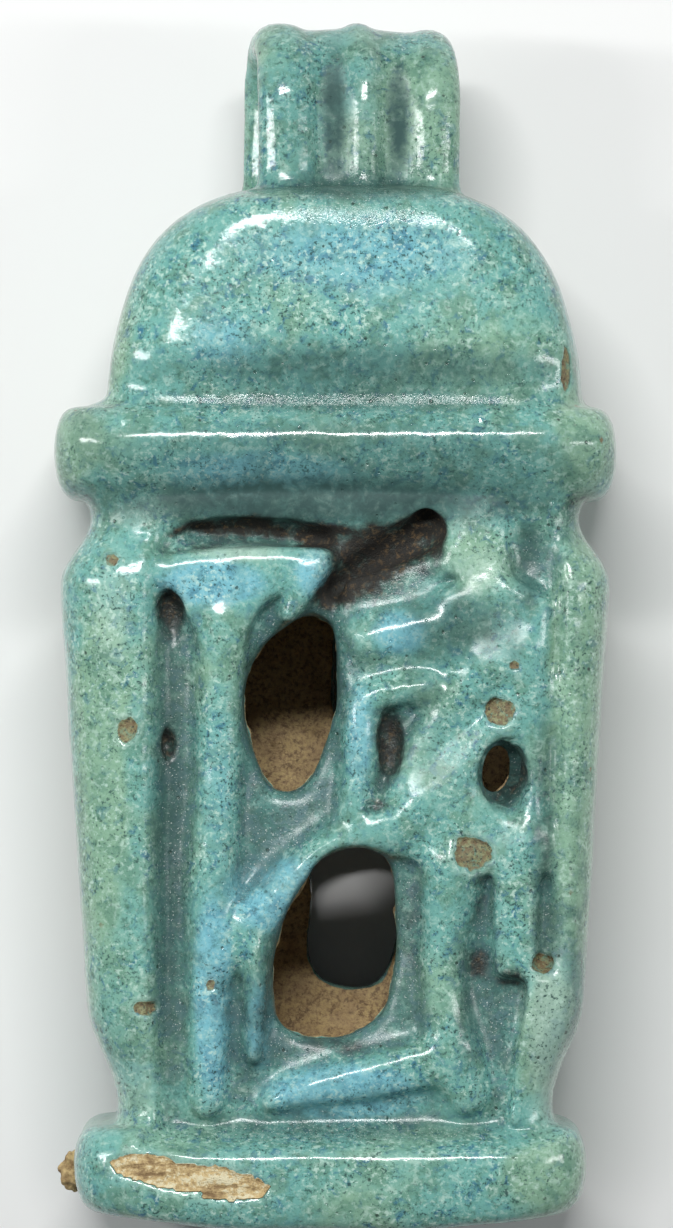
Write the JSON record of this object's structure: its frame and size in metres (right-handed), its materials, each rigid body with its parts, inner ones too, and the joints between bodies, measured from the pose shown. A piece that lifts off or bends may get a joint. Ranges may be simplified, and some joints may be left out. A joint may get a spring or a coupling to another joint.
{
  "type": "openwork naos amulet",
  "caption": "Small hollow shrine-shaped amulet of glazed faience with openwork relief panels and a ribbed suspension loop, lying on its back.",
  "frame": {"origin": "on the surface that the amulet lies on, under the middle of its box", "axes": "+Y along its height towards the suspension loop, +X across its width, +Z out of its upper face"},
  "size_m": [0.0158, 0.034, 0.0099],
  "materials": {
    "turquoise_faience": "glossy turquoise alkaline glaze with blue pools, brown specks and bare brown body inside"
  },
  "bodies": {
    "root": {"naos_amulet": "turquoise_faience"}
  },
  "joints": []
}
